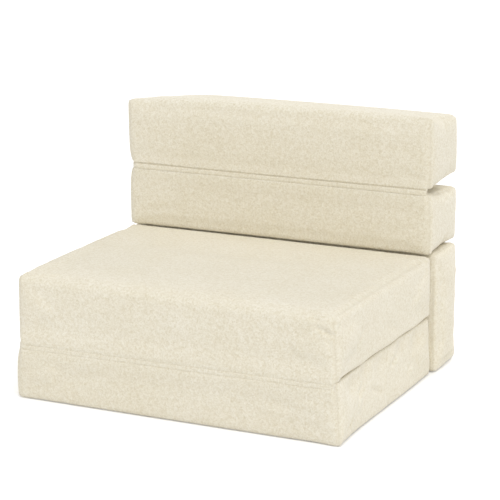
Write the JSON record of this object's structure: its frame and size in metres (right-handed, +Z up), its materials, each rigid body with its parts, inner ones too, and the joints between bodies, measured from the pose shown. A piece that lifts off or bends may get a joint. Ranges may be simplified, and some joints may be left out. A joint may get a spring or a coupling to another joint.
{
  "type": "folding sofa bed",
  "caption": "Frameless folding sofa bed of foam blocks in fleece covers: seat slabs on a base, with a stacked back, that unfold on fabric hinges into a low single bed.",
  "frame": {"origin": "middle of the underside of the base slab, on the floor", "axes": "+Z up, the seat faces -Y, +X to the sitter's left"},
  "size_m": [0.8, 0.7589, 0.61],
  "materials": {
    "fleece": "short curly pile",
    "foam": "open-cell foam",
    "nonslip": "woven, with rubber dots",
    "zip_tape": "woven tape",
    "zip_coil": "nylon coil",
    "zip_slider": "satin enamel"
  },
  "bodies": {
    "base": {"base_cover": "fleece", "base_foam": "foam", "base_zip_tape": "zip_tape", "base_zip_chain": "zip_coil", "base_zip_slider": "zip_slider", "base_nonslip_panel": "nonslip", "front_hinge_lower_strip": "fleece", "base_gusset": "fleece"},
    "seat": {"seat_cover": "fleece", "seat_foam": "foam", "seat_zip_tape": "zip_tape", "seat_zip_chain": "zip_coil", "seat_zip_slider": "zip_slider", "front_hinge_upper_strip": "fleece"},
    "rear_support": {"rear_support_cover": "fleece", "rear_support_foam": "foam", "rear_support_zip_tape": "zip_tape", "rear_support_zip_chain": "zip_coil", "rear_support_zip_slider": "zip_slider", "rear_support_nonslip_panel": "nonslip", "rear_support_gusset": "fleece"},
    "lower_bolster": {"lower_bolster_cover": "fleece", "lower_bolster_foam": "foam", "lower_bolster_zip_tape": "zip_tape", "lower_bolster_zip_chain": "zip_coil", "lower_bolster_zip_slider": "zip_slider", "back_hinge_lower_strip": "fleece"},
    "upper_bolster": {"upper_bolster_cover": "fleece", "upper_bolster_foam": "foam", "upper_bolster_zip_tape": "zip_tape", "upper_bolster_zip_chain": "zip_coil", "upper_bolster_zip_slider": "zip_slider", "back_hinge_upper_strip": "fleece"}
  },
  "joints": [
    {"name": "seat_fold", "type": "hinge", "parent": "base", "child": "seat", "pos_m": [0, -0.2918, 0.14615], "axis": [1, 0, 0], "range_deg": [0, 180]},
    {"name": "back_fold", "type": "hinge", "parent": "base", "child": "rear_support", "pos_m": [0, 0.37617, 0.063], "axis": [-1, 0, 0], "range_deg": [0, 90]},
    {"name": "lower_bolster_fold", "type": "hinge", "parent": "rear_support", "child": "lower_bolster", "pos_m": [0, 0.38783, 0.39258], "axis": [-1, 0, 0], "range_deg": [0, 90]},
    {"name": "upper_bolster_fold", "type": "hinge", "parent": "lower_bolster", "child": "upper_bolster", "pos_m": [0, 0.2732, 0.44991], "axis": [1, 0, 0], "range_deg": [0, 176.8]}
  ]
}
